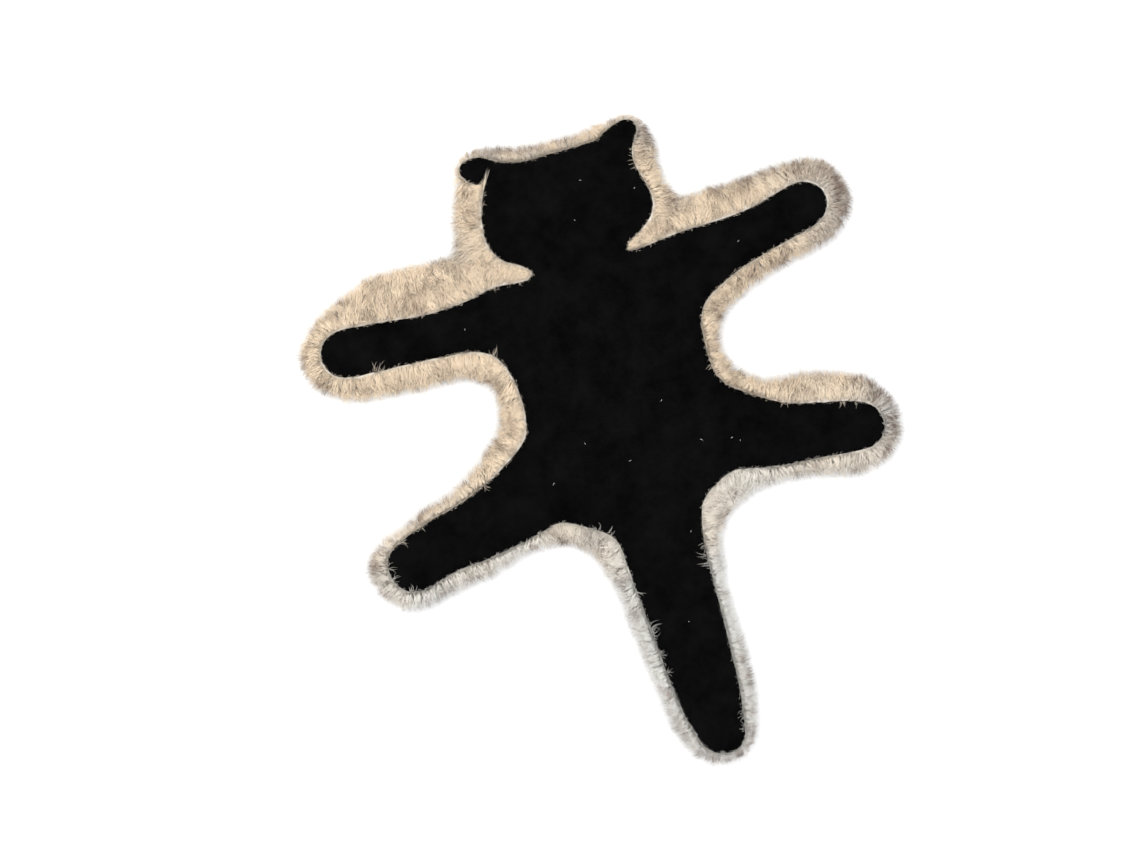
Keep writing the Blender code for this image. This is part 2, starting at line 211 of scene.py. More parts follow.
# Loose hairs that curl up over the felt's cut edge, with headings and spreads in degrees
Wisp = namedtuple("Wisp", "x y hairs length heading spread")
WISPS = (
    Wisp(x=-64, y=287, hairs=24, length=21, heading=60, spread=3),
    Wisp(x=-66, y=286, hairs=3, length=7, heading=5, spread=25),
    Wisp(x=-71, y=272, hairs=4, length=6, heading=-10, spread=25),
    Wisp(x=85, y=281, hairs=2, length=10, heading=150, spread=12),
    Wisp(x=86, y=275, hairs=2, length=10, heading=180, spread=12),
    Wisp(x=88, y=268, hairs=2, length=9, heading=200, spread=12),
    Wisp(x=-88, y=197, hairs=5, length=6, heading=-70, spread=30),
    Wisp(x=-79, y=190, hairs=5, length=6, heading=-95, spread=30),
    Wisp(x=-67, y=183, hairs=5, length=6, heading=-90, spread=30),
    Wisp(x=-54, y=178, hairs=4, length=5, heading=-100, spread=30),
    Wisp(x=-147, y=4, hairs=4, length=8, heading=-45, spread=25),
    Wisp(x=-254, y=-47, hairs=7, length=9, heading=-30, spread=30),
    Wisp(x=-249, y=-58, hairs=8, length=10, heading=35, spread=30),
    Wisp(x=-243, y=-73, hairs=7, length=9, heading=70, spread=30),
    Wisp(x=-239, y=-28, hairs=6, length=9, heading=-50, spread=25),
    Wisp(x=-214, y=-34, hairs=5, length=8, heading=-100, spread=25),
    Wisp(x=-175, y=-63, hairs=4, length=6, heading=95, spread=25),
    Wisp(x=-49, y=-65, hairs=5, length=9, heading=75, spread=30),
    Wisp(x=-38, y=-74, hairs=5, length=10, heading=30, spread=30),
    Wisp(x=-28, y=-138, hairs=4, length=9, heading=-30, spread=20),
    Wisp(x=-22, y=-181, hairs=15, length=13, heading=20, spread=42),
    Wisp(x=-25, y=-201, hairs=6, length=12, heading=-20, spread=25),
    Wisp(x=-17, y=-222, hairs=5, length=8, heading=5, spread=30),
    Wisp(x=45, y=-112, hairs=6, length=10, heading=-175, spread=16),
    Wisp(x=46, y=-122, hairs=5, length=12, heading=165, spread=14),
    Wisp(x=46, y=-133, hairs=7, length=12, heading=160, spread=14),
    Wisp(x=36, y=-284, hairs=6, length=8, heading=-165, spread=25),
    Wisp(x=32, y=-295, hairs=7, length=8, heading=155, spread=25),
    Wisp(x=10, y=-303, hairs=8, length=6, heading=70, spread=35),
    Wisp(x=164, y=4, hairs=4, length=7, heading=-115, spread=25),
    Wisp(x=217, y=-15, hairs=6, length=9, heading=-85, spread=25),
    Wisp(x=230, y=-31, hairs=5, length=8, heading=-125, spread=30),
    Wisp(x=94, y=56, hairs=4, length=7, heading=-175, spread=25),
    Wisp(x=-99, y=126, hairs=9, length=11, heading=80, spread=28),
    Wisp(x=-215, y=146, hairs=8, length=13, heading=55, spread=26))
WISP_HALF_WIDTHS = (0.13, 0.13, 0.11, 0.08, 0.0)
WISP_OUTSIDE = 0.8         # past the cut, where its hairs start
WISP_BREADTH = 1.7         # how far apart they start
WISP_LENGTHS = Range(0.35, 1.2)  # of the wisp's length
WISP_THICKNESSES = Range(0.7, 1.25)
WISP_CURL = 0.011          # of a hair's length, for each degree of spread
WISP_RISE = 0.5            # of its length, over the felt
FRINGE_STEP = 0.55         # between the short hairs all along the edge
FRINGE_LENGTH = 3.6
FRINGE_LENGTHS = Range(0.4, 1.3)
FRINGE_LOOK = 8            # the same for the fringe
FRINGE_OUTSIDE = Range(0.3, 1.6)  # how far past the cut they start
FRINGE_LEANS = Range(35.0, 120.0)  # degrees to either side
FRINGE_HALF_WIDTHS = (0.16, 0.14, 0.0)
FRINGE_CURL = 0.28
FRINGE_RISE = 0.3
HAIR_ROOT_DEPTH = 1.5      # below the felt's top
HAIR_OVER_FELT = 0.5
HAIR_RISES = Range(0.4, 1.0)  # of their rise
HAIR_TIP_HEIGHTS = Range(0.1, 1.2)
HAIR_DARK = (0.5, 1.0)     # the same along a hair

# Lint that has settled on the felt
Lint = namedtuple("Lint", "x y length heading")
LINT = (
    Lint(x=-78, y=-12, length=3.0, heading=40), Lint(x=-37, y=18, length=2.2, heading=110),
    Lint(x=1, y=-11, length=2.6, heading=10), Lint(x=39, y=-95, length=2.0, heading=75),
    Lint(x=74, y=-11, length=3.4, heading=150), Lint(x=104, y=-17, length=2.4, heading=20),
    Lint(x=111, y=-22, length=2.0, heading=95), Lint(x=47, y=38, length=2.2, heading=60),
    Lint(x=31, y=269, length=2.4, heading=170), Lint(x=81, y=247, length=2.0, heading=35),
    Lint(x=15, y=233, length=1.8, heading=120), Lint(x=-120, y=160, length=2.0, heading=80),
    Lint(x=165, y=168, length=2.2, heading=15), Lint(x=12, y=-180, length=1.8, heading=140))
LINT_HALF_WIDTHS = (0.13, 0.17, 0.18, 0.15, 0.0)
LINT_CURL = 1.0            # of half its length, at most
LINT_HEIGHTS = (0.25, 1.0, 0.4)     # of its start, middle and end over the felt

# The photograph was taken from straight above, with the rug turned a little
CAMERA_HEIGHT = 1300.0
CAMERA_AIM = (-47.1, 37.3)
CAMERA_TURN = -16.3        # degrees
VIEW_WIDTH = 1140.0
SENSOR_WIDTH = 36.0

# The studio, in metres and watts
FLOOR_HALF = 4.0
FLOOR_HEIGHT = -0.0003
FLOOR_COLOUR = (0.88, 0.88, 0.88, 1.0)
SKY_STRENGTH = 1.12
Panel = namedtuple("Panel", "name place size power colour")
PANELS = (
    Panel(name="key panel", place=(-0.9, 1.1, 1.7), size=1.0, power=16.0, colour=(1.0, 0.96, 0.90)),
    Panel(name="fill panel", place=(1.1, -0.9, 1.6), size=1.4, power=7.0, colour=(0.93, 0.96, 1.0)))


# Lines on the plan

def evenly_spaced(line, step):
    """The same closed line with its points at equal distances, about a step apart."""
    closed = np.vstack((line, line[:1]))
    steps = np.linalg.norm(np.diff(closed, axis=0), axis=1)
    distance = np.concatenate(([0.0], np.cumsum(steps)))
    wanted = np.linspace(0.0, distance[-1], round(distance[-1] / step), endpoint=False)
    return np.column_stack([np.interp(wanted, distance, column) for column in closed.T])


def evened(values, rounds):
    """The values along a closed line, each drawn towards its neighbours."""
    for _ in range(rounds):
        values = values / 2 + (np.roll(values, 1, axis=0) + np.roll(values, -1, axis=0)) / 4
    return values


def outward(line, reach):
    """Unit vectors out of an anticlockwise line, each judged over some points on both sides."""
    along = np.roll(line, -reach, axis=0) - np.roll(line, reach, axis=0)
    across = np.column_stack((along[:, 1], -along[:, 0]))
    return across / np.linalg.norm(across, axis=1)[:, None]


def nearest(points, line, at_once=3000):
    """How far the line is from each point, and which of the line's points is nearest."""
    away = np.empty(len(points))
    index = np.empty(len(points), dtype=int)
    for start in range(0, len(points), at_once):
        some = slice(start, start + at_once)
        squares = ((points[some, None, :] - line[None, :, :]) ** 2).sum(axis=2)
        index[some] = squares.argmin(axis=1)
        away[some] = np.sqrt(squares.min(axis=1))
    return away, index


def is_inside(points, line):
    """Whether each point lies inside a closed line, by counting crossings."""
    inside = np.zeros(len(points), dtype=bool)
    for (ax, ay), (bx, by) in zip(line, np.roll(line, -1, axis=0)):
        if ay == by:
            continue
        crosses = (points[:, 1] > ay) != (points[:, 1] > by)
        inside ^= crosses & (points[:, 0] < ax + (points[:, 1] - ay) * (bx - ax) / (by - ay))
    return inside


def grown(line, widths, step, slack=0.4, rounds=3):
    """The line that lies a given width outside another, a width for each of its points.

    A point may come nearer to the old line than its width by the slack.
    """
    moved = line + outward(line, 1) * widths[:, None]
    gaps = np.linalg.norm(moved[:, None] - line[None], axis=2) - widths[None, :]
    free = moved[(gaps.min(axis=1) > -slack) & ~is_inside(moved, line)]
    return evenly_spaced(evened(evenly_spaced(free, step), rounds), step)


def signed_area(line):
    """The area within a closed line, above zero if it runs anticlockwise."""
    after = np.roll(line, -1, axis=0)
    return (line[:, 0] * after[:, 1] - after[:, 0] * line[:, 1]).sum() / 2


def jittered_grid(low, high, pitch, random):
    columns, rows = np.ceil((high - low) / pitch).astype(int)
    across, up = np.meshgrid(np.arange(columns), np.arange(rows))
    cells = np.column_stack((across.ravel(), up.ravel()))
    return low + (cells + random.random(cells.shape)) * pitch


def soft_step(value):
    value = np.clip(value, 0.0, 1.0)
    return value * value * (3.0 - 2.0 * value)


def uneven(points, kind):
    values = [noise.noise(Vector((x / kind.pitch, y / kind.pitch, kind.slice))) for x, y in points]
    return kind.amount * np.array(values)


def drawn(random, share, count):
    return random.uniform(share.least, share.most, count)


def turned(vectors, degrees):
    angle = np.radians(degrees)
    cos, sin = np.cos(angle), np.sin(angle)
    return np.column_stack((vectors[:, 0] * cos - vectors[:, 1] * sin,
                            vectors[:, 0] * sin + vectors[:, 1] * cos))


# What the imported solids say

def outline(node, is_wanted, same_place=0.01):
    """The line round the wanted faces of a solid, seen from above, anticlockwise.

    It starts at the leftmost corner, so that it is the same in every run.
    """
    mesh = bmesh.new()
    mesh.from_mesh(node.data)
    bmesh.ops.remove_doubles(mesh, verts=mesh.verts, dist=same_place * MM)
    mesh.normal_update()
    wanted = {face for face in mesh.faces if is_wanted(face)}
    after = {}
    for face in wanted:
        for loop in face.loops:
            if sum(neighbour in wanted for neighbour in loop.edge.link_faces) == 1:
                after[loop.vert] = loop.link_loop_next.vert
    line = [min(after, key=lambda vert: tuple(vert.co.xy))]
    while len(line) < len(after):
        line.append(after[line[-1]])
    points = np.array([tuple(vert.co.xy) for vert in line]) / MM
    mesh.free()
    return points if signed_area(points) > 0 else points[::-1]


def line_through_lock_tips(node):
    """The smooth line round the rug that the locks at the fur's rim reach."""
    tops = {}
    for vert in node.data.vertices:
        place = tuple(np.round(np.array(vert.co.xy) / MM, 1))
        tops[place] = max(vert.co.z / MM, tops.get(place, 0.0))
    line = outline(node, lambda face: face.normal.z < -0.99)
    is_tip = [tops[tuple(place)] < LOCK_TIP_BELOW for place in np.round(line, 1)]
    return evenly_spaced(evened(line[is_tip], RIM_ROUNDS), RIM_STEP)


class Relief:
    """The height of a solid's top over any point of the plan, read off it on a square grid."""

    STEP = 2.0
    MARGIN = 12.0
    DOWN = Vector((0.0, 0.0, -1.0))
    START = 100.0          # well above the rug

    def __init__(self, name):
        low, high = (np.array(tuple(corner.xy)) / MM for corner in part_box(name))
        self.low = low - self.MARGIN
        columns, rows = np.ceil((high + self.MARGIN - self.low) / self.STEP).astype(int)
        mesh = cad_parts[name].data
        tree = BVHTree.FromPolygons([vert.co for vert in mesh.vertices],
                                    [face.vertices for face in mesh.polygons])
        self.height = np.zeros((rows, columns))
        for row in range(rows):
            for column in range(columns):
                x = (self.low[0] + column * self.STEP) * MM
                y = (self.low[1] + row * self.STEP) * MM
                found = tree.ray_cast(Vector((x, y, self.START * MM)), self.DOWN)[0]
                if found:
                    self.height[row, column] = found.z / MM

    def carried_on(self, rounds):
        """Keeps the height past the solid's edge that it has there."""
        for _ in range(rounds):
            beside = [np.roll(self.height, shift, axis) for axis in (0, 1) for shift in (1, -1)]
            count = sum(heights > 0.0 for heights in beside)
            fill = sum(beside) / np.maximum(count, 1)
            self.height = np.where((self.height == 0.0) & (count > 0), fill, self.height)
        return self

    def softened(self, rounds):
        for _ in range(rounds):
            for axis in (0, 1):
                beside = np.roll(self.height, 1, axis) + np.roll(self.height, -1, axis)
                self.height = self.height / 2 + beside / 4
        return self

    def places(self):
        rows, columns = self.height.shape
        across, up = np.meshgrid(np.arange(columns), np.arange(rows))
        return self.low + np.column_stack((across.ravel(), up.ravel())) * self.STEP

    def at(self, points):
        rows, columns = self.height.shape
        place = np.clip((points - self.low) / self.STEP, 0.0, (columns - 1.001, rows - 1.001))
        (column, row), (right, up) = place.astype(int).T, (place % 1.0).T
        lower = self.height[row, column] * (1 - right) + self.height[row, column + 1] * right
        row = row + 1
        upper = self.height[row, column] * (1 - right) + self.height[row, column + 1] * right
        return lower * (1 - up) + upper * up


class Border:
    """The strip of fur that shows between the felt's edge and the fur's rim."""

    CELL = 1.5             # of the map that tells where the strip is
    NEAREST_END = 3.0      # a strand that leans across the strip has at least this much room
    ROOM_STEP = 0.75
    LEAN_LOOK = 4          # points on both sides, over which outwards is judged
    ASIDE = ((0, 0), (2, 0), (-2, 0), (0, 2), (0, -2))      # how far a cell's middle may be off

    def __init__(self, edge, rim):
        self.edge = edge
        self.rim = rim
        self.across = outward(edge, self.LEAN_LOOK)
        self.width = nearest(edge, rim)[0]
        self.low = rim.min(axis=0) - self.CELL
        columns, rows = np.ceil((rim.max(axis=0) - self.low) / self.CELL).astype(int) + 2
        across, up = np.meshgrid(np.arange(columns), np.arange(rows))
        cells = self.low + np.column_stack((across.ravel(), up.ravel())) * self.CELL
        self.open = (is_inside(cells, rim) & ~is_inside(cells, edge)).reshape(rows, columns)

    def is_open(self, points):
        column, row = np.round((points - self.low) / self.CELL).astype(int).T
        rows, columns = self.open.shape
        return self.open[np.clip(row, 0, rows - 1), np.clip(column, 0, columns - 1)]

    def depth(self, points):
        """How far each point is outside the edge, below zero if inside, and where along it."""
        away, index = nearest(points, self.edge)
        return np.where(is_inside(points, self.edge), -away, away), index

    def room(self, points, lean, furthest):
        """How far each point may lean before it comes to the rim, or to felt across the strip."""
        room = np.full(len(points), self.NEAREST_END)
        goes_on = np.ones(len(points), dtype=bool)
        for step in np.arange(self.NEAREST_END, furthest, self.ROOM_STEP):
            goes_on &= self.is_open(points + lean * step)
            room[goes_on] = step
        return room

    def scattered(self, pitch, first, last, random):
        """Points all over the strip, from first past the edge to last short of the rim.

        Where the strip is narrow they stop short of the rim by part of its width.
        """
        points = jittered_grid(self.rim.min(axis=0), self.rim.max(axis=0), pitch, random)
        near = np.max([self.is_open(points + shift) for shift in self.ASIDE], axis=0)
        points = points[near]
        depth, index = self.depth(points)
        from_rim, _ = nearest(points, self.rim)
        least = np.minimum(last, NARROW_STRIP_SHARE * (depth + from_rim))
        kept = (depth > first) & (from_rim > least) & is_inside(points, self.rim)
        return points[kept], depth[kept], index[kept]


# Meshes

Plan = namedtuple("Plan", "points triangles rim")


def laid_out(line, pitch, breaks=(), clear_share=0.6, clear=1.0):
    """The inside of a closed line cut into triangles, about a pitch across.

    The breaks are points at which the cloth's slope changes. The grid stays clear of the line and
    of them by a share of the pitch.
    """
    low, high = line.min(axis=0), line.max(axis=0)
    rows = np.arange(low[1], high[1], pitch * math.sqrt(3) / 2)
    grid = np.array([(x + (row % 2) * pitch / 2, y)
                     for row, y in enumerate(rows) for x in np.arange(low[0], high[0], pitch)])
    grid = grid[is_inside(grid, line)]
    for points in (line, *breaks):
        grid = grid[nearest(grid, points)[0] > pitch * clear_share]
    inside = [points[is_inside(points, line) & (nearest(points, line)[0] > clear)]
              for points in breaks]
    seeds = np.vstack((line, grid, *inside))
    found = delaunay_2d_cdt([Vector(seed) for seed in seeds], [], [list(range(len(line)))], 1, 1e-6)
    points = np.array([tuple(point) for point in found[0]])
    triangles = np.array(found[2])
    a, b, c = (points[triangles[:, corner]] for corner in range(3))
    clockwise = (b - a)[:, 0] * (c - a)[:, 1] < (b - a)[:, 1] * (c - a)[:, 0]
    triangles[clockwise] = triangles[clockwise][:, ::-1]
    place_of = {seed: place for place, seeds_here in enumerate(found[3]) for seed in seeds_here}
    return Plan(points, triangles, np.array([place_of[seed] for seed in range(len(line))]))


def new_piece(name, mesh, material):
    mesh.shade_smooth()
    mesh.materials.append(material)
    piece = bpy.data.objects.new(name, mesh)
    bpy.context.scene.collection.objects.link(piece)
    return piece


def closed_cloth(name, plan, top, bottom, bulge, material):
    """A cloth between two heights over the same plan, with a rounded cut edge."""
    count = len(plan.points)
    edge = plan.points[plan.rim]
    proud = edge + outward(edge, 1) * bulge
    points = np.vstack((np.column_stack((plan.points, top)), np.column_stack((plan.points, bottom)),
                        np.column_stack((proud, (top + bottom)[plan.rim] / 2))))
    faces = [tuple(corners) for corners in plan.triangles]
    faces += [tuple(count + corner for corner in corners[::-1]) for corners in plan.triangles]
    here = plan.rim
    there = np.roll(plan.rim, -1)
    middle = 2 * count + np.arange(len(here))
    middle_there = np.roll(middle, -1)
    faces += list(zip(there, here, middle, middle_there))
    faces += list(zip(middle_there, middle, count + here, count + there))
    mesh = bpy.data.meshes.new(name)
    mesh.from_pydata((points * MM).tolist(), [], faces)
    return new_piece(name, mesh, material)


def bent(roots, middles, tips, rings):
    """A curve from each root to its tip, drawn towards the middle point between them."""
    share = np.linspace(0.0, 1.0, rings)[None, :, None]
    return ((1 - share) ** 2 * roots[:, None] + 2 * share * (1 - share) * middles[:, None]
            + share ** 2 * tips[:, None])


def strands(name, lines, half_widths, tones, warmths_and_lamp_glow, material):
    """A closed three-sided strand along each line, tapering to its tip, all in one mesh.

    Each point keeps how far along its strand it is, and its strand's tone and its warmth, which
    holds the painted warm lamp glow.
    """
    count, rings, _ = lines.shape
    ahead = np.gradient(lines, axis=1)
    side = np.cross(ahead, (0.0, 0.0, 1.0))
    side /= np.maximum(np.linalg.norm(side, axis=2), 1e-6)[..., None]
    over = np.cross(ahead, side)
    over /= np.maximum(np.linalg.norm(over, axis=2), 1e-6)[..., None]
    round_it = np.radians((90.0, 210.0, 330.0))[None, None, :, None]
    rim = side[:, :-1, None] * np.cos(round_it) + over[:, :-1, None] * np.sin(round_it)
    body = lines[:, :-1, None] + rim * half_widths[:, :-1, None, None]
    points = np.concatenate((body.reshape(count, -1, 3), lines[:, -1:]), axis=1)
    each = points.shape[1]
    last = each - 4
    sides = [(3 * ring + corner, 3 * ring + (corner + 1) % 3,
              3 * ring + 3 + (corner + 1) % 3, 3 * ring + 3 + corner)
             for ring in range(rings - 2) for corner in range(3)]
    ends = [(2, 1, 0)] + [(last + corner, last + (corner + 1) % 3, each - 1) for corner in range(3)]
    first_points = np.arange(count)[:, None, None] * each
    corners = np.concatenate(((first_points + sides).ravel(), (first_points + ends).ravel()))
    lengths = np.concatenate((np.full(count * len(sides), 4), np.full(count * len(ends), 3)))
    mesh = bpy.data.meshes.new(name)
    mesh.vertices.add(count * each)
    mesh.vertices.foreach_set("co", (points * MM).ravel())
    mesh.loops.add(len(corners))
    mesh.loops.foreach_set("vertex_index", corners)
    mesh.polygons.add(len(lengths))
    mesh.polygons.foreach_set("loop_start", np.concatenate(([0], np.cumsum(lengths)[:-1])))
    mesh.update(calc_edges=True)
    along = np.append(np.repeat(np.linspace(0.0, 1.0, rings)[:-1], 3), 1.0)
    # the warmth attribute carries the painted warm lamp glow
    kept = {"along": np.tile(along, count), "tone": np.repeat(tones, each),
            "warmth_and_lamp_glow": np.repeat(warmths_and_lamp_glow, each)}
    for label, values in kept.items():
        mesh.attributes.new(label, "FLOAT", "POINT").data.foreach_set("value", values)
    return new_piece(name, mesh, material)


# Materials

def new_material(name, **settings):
    """A material and its shader, with the shader's sockets set by name."""
    material = bpy.data.materials.new(name)
    material.use_nodes = True
    shader = material.node_tree.nodes["Principled BSDF"]
    for socket, value in settings.items():
        shader.inputs[socket.replace("_", " ")].default_value = value
    return material, material.node_tree, shader


def add_node(tree, kind, **inputs):
    node = tree.nodes.new(kind)
    for socket, value in inputs.items():
        node.inputs[socket.replace("_", " ")].default_value = value
    return node


def add_math(tree, operation, second):
    node = tree.nodes.new("ShaderNodeMath")
    node.operation = operation
    node.inputs[1].default_value = second
    return node


def add_colour_mix(tree):
    node = tree.nodes.new("ShaderNodeMix")
    node.data_type = "RGBA"
    return node


def fibre_group(fuzz_share=0.6):
    """Cloth of loose fibres: a colour that varies in patches, and a height for fine fuzz."""
    tree = bpy.data.node_groups.new("uneven fibres", "ShaderNodeTree")
    ins = (("Thin Colour", "NodeSocketColor"), ("Thick Colour", "NodeSocketColor"),
           ("Patch Scale", "NodeSocketFloat"), ("Fuzz Scale", "NodeSocketFloat"))
    for name, kind in ins:
        tree.interface.new_socket(name=name, in_out="INPUT", socket_type=kind)
    tree.interface.new_socket(name="Colour", in_out="OUTPUT", socket_type="NodeSocketColor")
    tree.interface.new_socket(name="Height", in_out="OUTPUT", socket_type="NodeSocketFloat")
    given = tree.nodes.new("NodeGroupInput")
    result = tree.nodes.new("NodeGroupOutput")
    where = tree.nodes.new("ShaderNodeTexCoord")
    patches = add_node(tree, "ShaderNodeTexNoise", Detail=5.0, Roughness=0.65)
    fuzz = add_node(tree, "ShaderNodeTexNoise", Detail=3.0, Roughness=0.7, Distortion=0.6)
    together = add_math(tree, "MULTIPLY_ADD", fuzz_share)
    levelled = add_math(tree, "SUBTRACT", fuzz_share / 2)
    spread = add_node(tree, "ShaderNodeMapRange", From_Min=0.3, From_Max=0.7)
    blend = add_colour_mix(tree)
    link = tree.links.new
    for texture in (patches, fuzz):
        link(where.outputs["Object"], texture.inputs["Vector"])
    link(given.outputs["Patch Scale"], patches.inputs["Scale"])
    link(given.outputs["Fuzz Scale"], fuzz.inputs["Scale"])
    link(fuzz.outputs["Fac"], together.inputs[0])
    link(patches.outputs["Fac"], together.inputs[2])
    link(together.outputs[0], levelled.inputs[0])
    link(levelled.outputs[0], spread.inputs["Value"])
    link(spread.outputs["Result"], blend.inputs["Factor"])
    link(given.outputs["Thin Colour"], blend.inputs["A"])
    link(given.outputs["Thick Colour"], blend.inputs["B"])
    link(blend.outputs["Result"], result.inputs["Colour"])
    link(fuzz.outputs["Fac"], result.inputs["Height"])
    return tree


FIBRES = fibre_group()


def add_fibres(tree, colours, patch_size, fuzz_size):
    """The fibre group with its thin and thick colours, and the size of its patches and fuzz."""
    thin, thick = colours
    fibres = tree.nodes.new("ShaderNodeGroup")
    fibres.node_tree = FIBRES
    fibres.inputs["Thin Colour"].default_value = (*thin, 1.0)
    fibres.inputs["Thick Colour"].default_value = (*thick, 1.0)
    fibres.inputs["Patch Scale"].default_value = 1.0 / (patch_size * MM)
    fibres.inputs["Fuzz Scale"].default_value = 1.0 / (fuzz_size * MM)
    return fibres


def add_bump(tree, height, shader, strength, depth):
    bump = add_node(tree, "ShaderNodeBump", Strength=strength, Distance=depth * MM)
    tree.links.new(height, bump.inputs["Height"])
    tree.links.new(bump.outputs["Normal"], shader.inputs["Normal"])


def felt_material():
    material, tree, shader = new_material(
        "black wool felt", Roughness=0.95, Specular_IOR_Level=0.02, Sheen_Weight=0.012,
        Sheen_Roughness=0.5, Sheen_Tint=(0.8, 0.8, 0.85, 1.0))
    fibres = add_fibres(tree, FELT_COLOURS, patch_size=26.0, fuzz_size=1.1)
    tree.links.new(fibres.outputs["Colour"], shader.inputs["Base Color"])
    add_bump(tree, fibres.outputs["Height"], shader, strength=0.5, depth=0.35)
    return material


def cloth_material(name, colours, patch_size, fuzz_size, bump_depth):
    material, tree, shader = new_material(
        name, Roughness=0.95, Specular_IOR_Level=0.2, Sheen_Weight=0.1, Sheen_Roughness=0.6)
    fibres = add_fibres(tree, colours, patch_size, fuzz_size)
    tree.links.new(fibres.outputs["Colour"], shader.inputs["Base Color"])
    add_bump(tree, fibres.outputs["Height"], shader, strength=0.7, depth=bump_depth)
    return material


def strand_material(name, roots, tips, dark):
    """Strands that are pale at the root, creamier by their warmth with its painted lamp glow, and
    darker at the tip, by their tone.
    """
    material, tree, shader = new_material(
        name, Roughness=0.6, Specular_IOR_Level=0.3, Sheen_Weight=0.15, Sheen_Roughness=0.5)
    along, tone, warmth_and_lamp_glow = (tree.nodes.new("ShaderNodeAttribute") for _ in range(3))
    for node, label in ((along, "along"), (tone, "tone"), (warmth_and_lamp_glow, "warmth_and_lamp_glow")):
        node.attribute_name = label
    rise = add_node(tree, "ShaderNodeMapRange", From_Min=dark[0], From_Max=dark[1])
    share = tree.nodes.new("ShaderNodeMath")
    share.operation = "MULTIPLY"
    fibres = add_fibres(tree, tips, patch_size=9.0, fuzz_size=2.0)
    root = add_colour_mix(tree)
    blend = add_colour_mix(tree)
    for socket, colour in zip("AB", roots):
        root.inputs[socket].default_value = (*colour, 1.0)
    link = tree.links.new
    # painted warm lamp glow: the warmth attribute picks the warm root colour
    link(warmth_and_lamp_glow.outputs["Fac"], root.inputs["Factor"])
    link(along.outputs["Fac"], rise.inputs["Value"])
    link(rise.outputs["Result"], share.inputs[0])
    link(tone.outputs["Fac"], share.inputs[1])
    link(share.outputs[0], blend.inputs["Factor"])
    link(root.outputs["Result"], blend.inputs["A"])
    link(fibres.outputs["Colour"], blend.inputs["B"])
    link(blend.outputs["Result"], shader.inputs["Base Color"])
    return material


# The felt

def felt_edge():
    """The scissor cut round the felt, with the small turns that a hand leaves in it."""
    line = outline(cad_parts["cat_panel"], lambda face: face.normal.z > 0.5)
    line = evened(evenly_spaced(line, FELT_EDGE_STEP), FELT_EDGE_ROUNDS)
    return line + outward(line, EDGE_LOOK) * uneven(line, SCISSOR_WOBBLE)[:, None]


def felt_top(points):
    """The height of the felt's top, which sags and curls a little on its soft bed."""
    away, _ = nearest(points, EDGE)
    curl = uneven(points, FELT_CURL) * (1.0 - soft_step(away / FELT_CURL_REACH))
    return FELT_RELIEF.at(points) + uneven(points, FELT_WAVE) + uneven(points, FELT_DIMPLE) + curl


def lay_felt():
    plan = laid_out(EDGE, FELT_GRID)
    top = felt_top(plan.points)
    felt = felt_material()
    return closed_cloth("felt_cat", plan, top, top - FELT_THICKNESS, FELT_EDGE_BULGE, felt)


# The fur

def lay_backing(line):
    plan = laid_out(line, BACKING_GRID)
    bottom = np.zeros(len(plan.points))
    top = bottom + BACKING_THICKNESS
    knit = cloth_material("knitted backing", BACKING_COLOURS, patch_size=22.0, fuzz_size=1.6,
                          bump_depth=0.5)
    return closed_cloth("fur_backing", plan, top, bottom, BACKING_EDGE_BULGE, knit)


def pile_relief():
    """The pile's top: pressed down under the felt, and sloping to the rim from its edge."""
    relief = Relief("fur_base").softened(PILE_SOFT_ROUNDS)
    places = relief.places()
    depth, _ = BORDER.depth(places)
    from_rim, _ = nearest(places, BORDER.rim)
    across = np.clip(depth / np.maximum(depth + from_rim, 0.1), 0.0, 1.0)
    across = np.where(is_inside(places, BORDER.rim), across, 1.0)
    slope = SLOPE_HEIGHT * (1.0 - across ** SLOPE_ROUND)
    solid = relief.height.ravel()
    open_top = solid + (slope - solid) * SLOPE_SHARE
    relief.height = np.where(depth > 0.0, open_top, solid).reshape(relief.height.shape)
    return relief


def undercoat_top(points, line):
    """The height of the short dense fibres among the strands' roots."""
    depth, _ = BORDER.depth(points)
    from_rim, _ = nearest(points, line)
    deeper = (UNDERCOAT_BELOW_PILE - UNDERCOAT_BELOW_EDGE) * soft_step(depth / UNDERCOAT_RISE)
    below = np.where(depth < 0.0, UNDERCOAT_BELOW_FELT, UNDERCOAT_BELOW_EDGE + deeper)
    lumps = uneven(points, UNDERCOAT_LUMPS) * soft_step(depth / LUMPS_RISE)
    full = PILE_RELIEF.at(points) - below + lumps
    share = soft_step(from_rim / UNDERCOAT_RIM_REACH)
    over_rim = (full - UNDERCOAT_RIM_HEIGHT) * share
    return np.maximum(UNDERCOAT_RIM_HEIGHT + over_rim, UNDERCOAT_RIM_HEIGHT)


def lay_undercoat(line):
    across = outward(EDGE, EDGE_LOOK)
    plan = laid_out(line, UNDERCOAT_GRID, (EDGE + across * CUT_INSIDE, EDGE + across * CUT_OUTSIDE))
    top = undercoat_top(plan.points, line)
    bottom = np.full(len(plan.points), BACKING_THICKNESS + UNDERCOAT_OVER_BACKING)
    fluff = cloth_material("fur undercoat", UNDERCOAT_COLOURS, patch_size=9.0, fuzz_size=1.4,
                           bump_depth=1.2)
    return closed_cloth("undercoat", plan, top, bottom, UNDERCOAT_EDGE_BULGE, fluff)


def share_of_room(random, count):
    """How much of its room to the rim each strand takes up: most stop well short of it."""
    return SHORTEST_SHARE + (LONGEST_SHARE - SHORTEST_SHARE) * random.random(count) ** SHORT_POWER


def darkness(points):
    """How much browner than elsewhere the tips are."""
    added = np.zeros(len(points))
    for dark in DARKS:
        away = np.hypot(points[:, 0] - dark.x, points[:, 1] - dark.y)
        added += dark.amount * (1.0 - soft_step(away / dark.reach))
    return added


